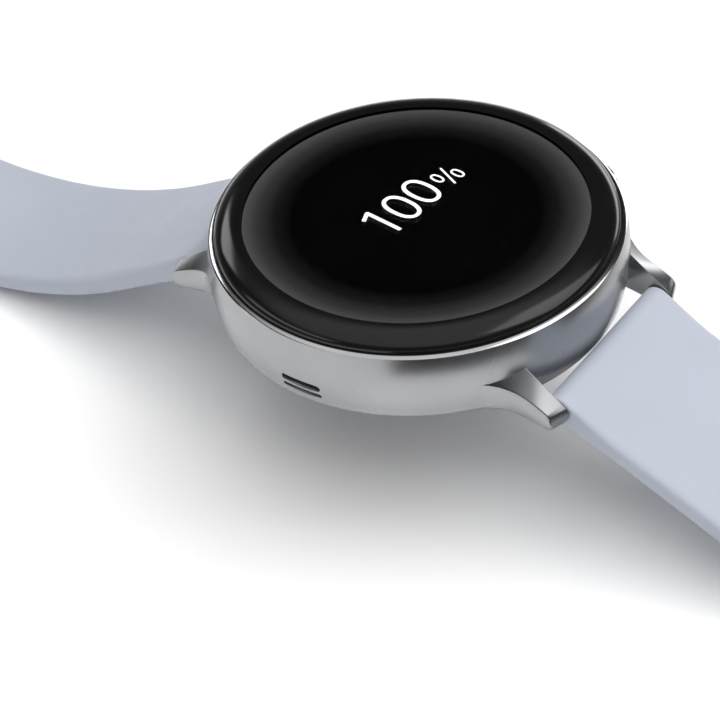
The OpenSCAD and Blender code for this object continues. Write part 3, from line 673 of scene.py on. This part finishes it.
def lugMesh(sideX, sideY):
    rootY = math.sqrt(cavityRadius ** 2 - lug["inX"] ** 2) - 2
    run = lugTipY - 0.03 - rootY
    rings = []
    for k in range(lug["stations"] + 1):
        y = rootY + run * (1 - (1 - k / lug["stations"]) ** 1.7)
        rings.append([atWatch(sideX * px, sideY * py, pz) for px, py, pz in lugSection(y)])
    piece = loftMesh("lug", rings)
    # the root is cut back to the inside of the case and its cover
    inner = [(0, -4), (barrel["coverRadius"], -4), (barrel["coverRadius"], barrel["footZ"] - 0.02),
             (cavityRadius + 0.4, barrel["footZ"] - 0.02), (cavityRadius + 0.4, 14), (0, 14)]
    cutAway(piece, [latheMesh("cutter", inner, 180)])
    return piece


def fromCase(angle, z):
    # returns a function that places points across (up), along (round the case) and out from its axis
    c, s = math.cos(math.radians(angle)), math.sin(math.radians(angle))

    def place(across, along, out):
        return atWatch(out * c - along * s, out * s + along * c, z + across)

    return place


def portCutter(angle, z, wide, long, floor, lip):
    # a pill-shaped hole in the case's side with a softened mouth
    skin = barrelRadius(z)
    sag = skin - math.sqrt(skin ** 2 - (long / 2) ** 2)
    levels = [(floor, 0), (skin - sag - lip, 0), (skin - sag - lip * 0.4, lip * 0.3), (skin - sag, lip),
              (skin + 0.5, lip * 1.5)]
    return loftMesh("cutter", pillRings(fromCase(angle, z), levels, wide, long, 40))


def upright(angle, place, radius, low, high, steps=32):
    # a round column that stands at a distance from the case's axis
    turn = math.radians(angle)
    rings = []
    for z in (low, high):
        rings.append([atWatch(place * math.cos(turn) + radius * math.cos(2 * math.pi * k / steps),
                              place * math.sin(turn) + radius * math.sin(2 * math.pi * k / steps), z)
                      for k in range(steps)])
    return loftMesh("column", rings)


def caseBlock(angle, z, low, high):
    # a block between two corners given as across, along and out
    place = fromCase(angle, z)
    rings = []
    for out in (low[2], high[2]):
        rings.append([place(low[0], low[1], out), place(high[0], low[1], out), place(high[0], high[1], out),
                      place(low[0], high[1], out)])
    return loftMesh("block", rings)


def makeCase():
    p = sidePorts
    piece = barrelMesh()
    added = [lugMesh(sideX, sideY) for sideX in (1, -1) for sideY in (1, -1)]
    half = p["padWide"] / 2
    cuts = []
    for side in (1, -1):
        angle = side * p["buttonAngle"]
        added.append(caseBlock(angle, buttonZ, (-half, -half, p["padIn"]), (half, half, cavityRadius + 0.3)))
        cuts.append(portCutter(angle, buttonZ, p["buttonWide"], p["buttonLong"], p["buttonFloor"], 0.12))
        cuts.append(portCutter(angle, buttonZ, 2 * p["stemBore"], 2 * p["stemBore"], p["padIn"] - 1, 0.01))
        bar = (middle(("upper" if side > 0 else "lower") + "_bar_tube") - watchOrigin) * 1000
        levels = [(-p["barHoleEnd"], 0), (p["barHoleEnd"], 0)]
        cuts.append(loftMesh("cutter", pillRings(lambda u, v, x: atWatch(x, bar.y + u, bar.z + v), levels,
                                                 2 * p["barBore"], 2 * p["barBore"])))
    for angle in p["bossAngles"]:
        bossTop = p["bossZ"] + p["bossHigh"]
        column = upright(angle, p["bossPlace"], p["bossRadius"], p["bossZ"], bossTop)
        r = p["bossRadius"]
        combine(column, [caseBlock(angle, (p["bossZ"] + bossTop) / 2, (-0.999, -r, p["bossPlace"]),
                                   (0.999, r, p["bossPlace"] + 1.25))], "UNION")
        added.append(column)
        cuts.append(upright(angle, p["bossPlace"], p["screwBore"], p["bossZ"] - 0.1, bossTop - 0.4))
    for z, wide in p["slots"]:
        cuts.append(portCutter(p["slotAngle"], z, wide, p["slotLong"], cavityRadius - 1, 0.1))
    bore = 2 * p["micBore"]
    cuts.append(portCutter(p["micAngle"], p["micZ"], bore, bore, cavityRadius - 1, 0.05))
    combine(piece, added, "UNION")
    cutAway(piece, cuts, 38)
    piece.data.materials.clear()
    piece.data.materials.append(aluminium)
    piece.data.materials.append(cutRim())
    for face in piece.data.polygons:
        spot = (face.center - watchOrigin) * 1000
        face.material_index = 1 if spot.z > rimZ - barrel["rimCut"] and face.normal.z > 0.4 else 0
    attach(piece, "case")
    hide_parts("case")


makeCase()
print("case made")


# front glass, clear over the screen and black round it
glass = dict(thick=0.65, skirt=1.25, edgeRun=2.9, flatFrom=17.64, steps=256)


def frontGlass():
    low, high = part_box("crystal")
    radius = (high.x - low.x) * 500
    top = (high.z - watchOrigin.z) * 1000
    foot = (low.z - watchOrigin.z) * 1000
    inside = top - glass["thick"]
    shoulder = foot + 0.2
    edge = []
    for k in range(25):
        a = math.radians(90 * k / 24)
        edge.append((radius - glass["edgeRun"] * (1 - math.cos(a)),
                     shoulder + (top - shoulder) * math.sin(a)))
    profile = [(0, inside), (glass["flatFrom"], inside), (radius - glass["skirt"] - 0.1, inside),
               (radius - glass["skirt"], inside - 0.1), (radius - glass["skirt"], foot), (radius - 0.1, foot),
               (radius, foot + 0.1)] + edge + [(glass["flatFrom"], top), (0, top)]
    piece = latheMesh("frontGlass", profile, glass["steps"])
    piece.data.materials.append(clearGlass())
    piece.data.materials.append(blackGlass())
    for face in piece.data.polygons:
        spot = face.center - watchOrigin
        face.material_index = 1 if spot.xy.length > mm(glass["flatFrom"] * 0.999) else 0
    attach(piece, "case")
    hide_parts("crystal")


frontGlass()


# digits on the screen
digits = dict(turn=-7.0, stroke=0.42, middle=(0.2, 1.8), height=4.6, bowlWide=2.24, lift=0.012, thick=0.01,
              steps=40)
percent = dict(stroke=0.21, wide=0.76, high=1.48, rings=((5.67, 0.14), (7.59, -0.97)),
               slash=((6.15, -1.86), (7.18, 0.98)))


def strokeMesh(line, width, closed):
    # flat ribbon of even width along a line of 2D points
    points, faces = [], []
    count = len(line)
    for i in range(count):
        before = line[i - 1] if closed or i > 0 else line[i]
        after = line[(i + 1) % count] if closed or i < count - 1 else line[i]
        run = Vector(after) - Vector(before)
        run.normalize()
        side = Vector((-run.y, run.x)) * width / 2
        points += [Vector(line[i]) + side, Vector(line[i]) - side]
    for i in range(count if closed else count - 1):
        j = (i + 1) % count
        faces.append((2 * i, 2 * i + 1, 2 * j + 1, 2 * j))
    return points, faces


def roundedLoop(centre, halfWide, halfHigh, power=2.35):
    # a digit's bowl, a little squarer than an ellipse
    line = []
    for k in range(digits["steps"]):
        a = 2 * math.pi * k / digits["steps"]
        c, s = math.cos(a), math.sin(a)
        line.append((centre[0] + halfWide * math.copysign(abs(c) ** (2 / power), c),
                     centre[1] + halfHigh * math.copysign(abs(s) ** (2 / power), s)))
    return line


def addDigits():
    # a one, two noughts and a percent sign: each stroke is its line, its width and whether it closes
    half = digits["height"] / 2
    thin = digits["stroke"]
    strokes = [
        ([(-2.95, -half), (-2.95, half - 0.1)], thin, False),
        ([(-2.85, half - 0.12), (-4.15, half - 0.75)], thin, False),
    ]
    for centre in ((-0.1, 0), (3.1, 0.1)):
        strokes.append((roundedLoop(centre, digits["bowlWide"] / 2, half - thin / 2), thin, True))
    fine = percent["stroke"]
    for centre in percent["rings"]:
        strokes.append((roundedLoop(centre, percent["wide"] / 2, percent["high"] / 2), fine, True))
    strokes.append((percent["slash"], fine, False))
    turn = math.radians(digits["turn"])
    spin = Matrix.Rotation(turn, 2)
    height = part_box("display_panel")[1].z + mm(digits["lift"])
    points, faces = [], []
    for line, width, closed in strokes:
        more, quads = strokeMesh(line, width, closed)
        start = len(points)
        for p in more:
            flat = spin @ p + Vector(digits["middle"])
            spot = atWatch(flat.x, flat.y, 0)
            points.append((spot.x, spot.y, height))
        faces += [tuple(start + i for i in quad) for quad in quads]
    piece = addMesh("chargeDigits", points, faces)
    thick = piece.modifiers.new("film", "SOLIDIFY")
    thick.thickness = mm(digits["thick"])
    piece.data.materials.append(litDigits())
    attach(piece, "case")


addDigits()
print("glass and digits made")


# strap halves
strap = dict(thick=2.3, roll=1.55, endRoll=1.45, width=19.7, endWidth=17.8, bend=60.0, crown=0.12,
             topRun=1.15, topDrop=0.72, lowRound=0.55, step=1.0)
upperHalf = dict(name="buckleStrap", node="buckle_strap", body="upper_strap", bar="upper_bar_tube", side=1,
                 fall=30.0, rise=16.0, length=78.0, tip=0, evenEnd=18.5)
lowerHalf = dict(name="holeStrap", node="hole_strap", body="lower_strap", bar="lower_bar_tube", side=-1,
                 fall=24.2, rise=0.0, length=118.0, tip=8.9, holes=9, pitch=6.0, firstHole=18.0,
                 holeWide=2.4, holeLong=3.4)


def strapPath(half):
    # returns a function that gives (y, z, slope) at a distance s from the spring bar,
    # in the watch's own frame, and where the straight run ends
    bar = (middle(half["bar"]) - watchOrigin) * 1000
    barY, barZ = abs(bar.y), bar.z
    fall, rise = math.radians(half["fall"]), math.radians(half["rise"])
    lowest = -watchOrigin.z * 1000 + strap["thick"] / 2
    straight = (barZ - strap["bend"] * (1 - math.cos(fall)) - lowest) / math.sin(fall)
    arc = strap["bend"] * (fall + rise)

    def spot(s):
        if s <= straight:
            return barY + s * math.cos(fall), barZ - s * math.sin(fall), -fall
        slope = min(rise, -fall + (s - straight) / strap["bend"])
        y = barY + straight * math.cos(fall) + strap["bend"] * (math.sin(fall) + math.sin(slope))
        z = barZ - straight * math.sin(fall) + strap["bend"] * (math.cos(fall) - math.cos(slope))
        over = max(0.0, s - straight - arc)
        return y + over * math.cos(rise), z + over * math.sin(rise), slope

    return spot, straight


def strapHalfThick(s, half):
    base = strap["thick"] / 2
    if s < 0:
        return math.sqrt(max(0.0, strap["roll"] ** 2 - s * s))
    lift = (strap["roll"] - base) * max(0.0, 1 - s / 8) ** 2
    if half["tip"] == 0:
        beyond = s - half["length"]
        if beyond > 0:
            return math.sqrt(max(0.0, strap["endRoll"] ** 2 - beyond * beyond))
        lift += (strap["endRoll"] - base) * max(0.0, 1 + beyond / 5) ** 2
    return base + lift


def strapHalfWide(s, half, path, straight):
    y = path(s)[0]
    start, end = path(straight)[0], path(half["length"])[0] - (half["tip"] or half["evenEnd"])
    share = min(1.0, max(0.0, (y - start) / (end - start)))
    wide = (strap["width"] + (strap["endWidth"] - strap["width"]) * share) / 2
    if half["tip"]:
        past = s - (half["length"] - half["tip"])
        if past > 0:
            wide = wide * math.sqrt(max(0.0, 1 - (past / half["tip"]) ** 2))
    return wide


def strapSection(wide, thick, softness):
    # outline in (across, up) pairs: a crowned top with long soft shoulders, and a tighter round below
    topRun = min(wide * 0.9, 0.35 + (strap["topRun"] - 0.35) * softness)
    topDrop = min(thick, 0.35 + (strap["topDrop"] - 0.35) * softness)
    low = min(thick * 0.8, strap["lowRound"], wide * 0.5)
    crown = strap["crown"] * softness
    outline = []
    for k in range(8):
        a = math.radians(90 * k / 7)
        outline.append((wide - topRun * (1 - math.cos(a)), thick - crown - topDrop * (1 - math.sin(a))))
    flat = wide - topRun
    for k in range(1, 6):
        u = 1 - 2 * k / 6
        outline.append((flat * u, thick - crown * u * u))
    outline += [(-x, z) for x, z in outline[:8][::-1]]
    for k in range(5):
        a = math.radians(90 * k / 4)
        outline.append((-(wide - low * (1 - math.cos(a))), -thick + low * (1 - math.sin(a))))
    for k in range(1, 4):
        outline.append((-(wide - low) * (1 - k / 2), -thick))
    outline += [(-x, z) for x, z in outline[21:26][::-1]]
    return outline


def strapPoint(path, side, s, across, up):
    y, z, slope = path(s)
    return atWatch(across, side * (y - up * math.sin(slope)), z + up * math.cos(slope))


def strapStations(half):
    # distances along the strap, closer together at its two ends
    tail = half["tip"] if half["tip"] else strap["endRoll"]
    end = half["length"] + (0 if half["tip"] else strap["endRoll"])
    nose = [-strap["roll"] * math.cos(math.radians(a)) for a in (4, 12, 24, 38, 54, 72)]
    count = int((end - tail) / strap["step"])
    body = [(end - tail) * k / count for k in range(count + 1)]
    turns = (8, 16, 25, 34, 43, 52, 61, 70, 78, 84, 88)
    last = [end - tail + tail * math.sin(math.radians(a)) for a in turns]
    return nose + body + last


def roundedCutter(path, side, s, wide, long, lip=0.28):
    # a pill-shaped hole through the strap whose mouth opens with a soft lip at both faces
    reach = strap["thick"] / 2
    levels = [(-reach - 0.4, lip * 1.3), (-reach, lip), (-reach + lip * 0.4, lip * 0.4), (-reach + lip, 0),
              (reach - lip, 0), (reach - lip * 0.4, lip * 0.4), (reach, lip), (reach + 0.4, lip * 1.3)]

    def place(across, along, up):
        return strapPoint(path, side, s + along, across, up)

    return loftMesh("cutter", pillRings(place, levels, wide, long))


def boxCutter(path, side, s, low, high):
    # a block in the strap's own directions at distance s: across, along, up
    y, z, slope = path(s)
    points = []
    for along in (low[1], high[1]):
        for across, up in ((low[0], low[2]), (high[0], low[2]), (high[0], high[2]), (low[0], high[2])):
            points.append(atWatch(across, side * (y + along * math.cos(slope) - up * math.sin(slope)),
                                  z + along * math.sin(slope) + up * math.cos(slope)))
    return loftMesh("cutter", [points[:4], points[4:]])


lever = dict(x=7.6, travel=1.3, wide=0.65, room=0.75)  # the slot under the strap for the spring bar's lever
tongueSlot = dict(wide=3.2, back=2.2, ahead=6.0)


def makeStrap(half):
    path, straight = strapPath(half)
    rings = []
    for s in strapStations(half):
        wide = strapHalfWide(s, half, path, straight)
        thick = strapHalfThick(s, half)
        softness = min(1.0, max(0.0, (s - 0.5) / 5))  # 0 for the square ends, 1 for the full soft shoulders
        if half["tip"]:
            past = max(0.0, s - (half["length"] - 2.2)) / 2.2
            thick = thick * math.sqrt(max(0.02, 1 - past ** 2 * 0.85))
        else:
            softness = min(softness, max(0.0, (half["length"] - 1.0 - s) / 4))
        section = strapSection(wide, thick, softness)
        rings.append([strapPoint(path, half["side"], s, x, z) for x, z in section])
    piece = loftMesh(half["name"], rings)
    cutters = [boxCutter(path, half["side"], 0,
                         (lever["x"] - lever["travel"] - lever["room"], -lever["wide"], -4),
                         (lever["x"] + lever["room"], lever["wide"], 0))]
    if half["tip"]:
        for k in range(half["holes"]):
            s = half["length"] - half["firstHole"] - k * half["pitch"]
            cutters.append(roundedCutter(path, half["side"], s, half["holeWide"], half["holeLong"]))
    else:
        across = tongueSlot["wide"] / 2
        cutters.append(boxCutter(path, half["side"], half["length"],
                                 (-across, -tongueSlot["back"], -5), (across, tongueSlot["ahead"], 5)))
    cutAway(piece, cutters)
    piece.data.materials.append(siliconeSkin)
    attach(piece, half["body"])
    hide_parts(half["node"])
    return path


upperPath = makeStrap(upperHalf)
makeStrap(lowerHalf)
print("strap made")


# keeper
keeper = dict(fromPin=10.0, long=5.0, wall=1.2, inWide=18.1, inHigh=5.1, corner=1.0, edge=0.45, lift=0.1)


def makeKeeper():
    # a silicone loop: a soft oblong section carried round a round-cornered rectangle
    wide = keeper["inWide"] / 2 + keeper["wall"] / 2
    high = keeper["inHigh"] / 2 + keeper["wall"] / 2
    turn = keeper["corner"] + keeper["wall"] / 2
    route = []
    corners = [(wide - turn, high - turn, 0), (-wide + turn, high - turn, 90),
               (-wide + turn, -high + turn, 180), (wide - turn, -high + turn, 270)]
    for cx, cz, start in corners:
        for k in range(7):
            a = math.radians(start + 15 * k)
            route.append((cx + turn * math.cos(a), cz + turn * math.sin(a), a))
    section = []
    halfLong, halfWall, e = keeper["long"] / 2, keeper["wall"] / 2, keeper["edge"]
    for sx, sz, start in ((1, 1, 0), (-1, 1, 90), (-1, -1, 180), (1, -1, 270)):
        for k in range(4):
            a = math.radians(start + 30 * k)
            section.append((sx * (halfLong - e) + e * math.cos(a), sz * (halfWall - e) + e * math.sin(a)))
    s = upperHalf["length"] - keeper["fromPin"]
    lift = strap["thick"] / 2 + keeper["lift"]
    rings = []
    for x, z, a in route:
        ring = []
        for along, out in section:
            ring.append(strapPoint(upperPath, upperHalf["side"], s + along,
                                   x + out * math.cos(a), lift + z + out * math.sin(a)))
        rings.append(ring)
    piece = loftMesh("keeperLoop", rings, closed=True)
    piece.data.materials.append(siliconeSkin)
    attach(piece, "keeper")
    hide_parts("keeper")


makeKeeper()
print("keeper made")


# softened metal edges
softWidths = {"buckle_frame": 0.35, "buckle_tongue": 0.25, "upper_button": 0.18, "lower_button": 0.18}
for nodeName, width in softWidths.items():
    softenEdges(nodes[nodeName], width)
print("edges softened")
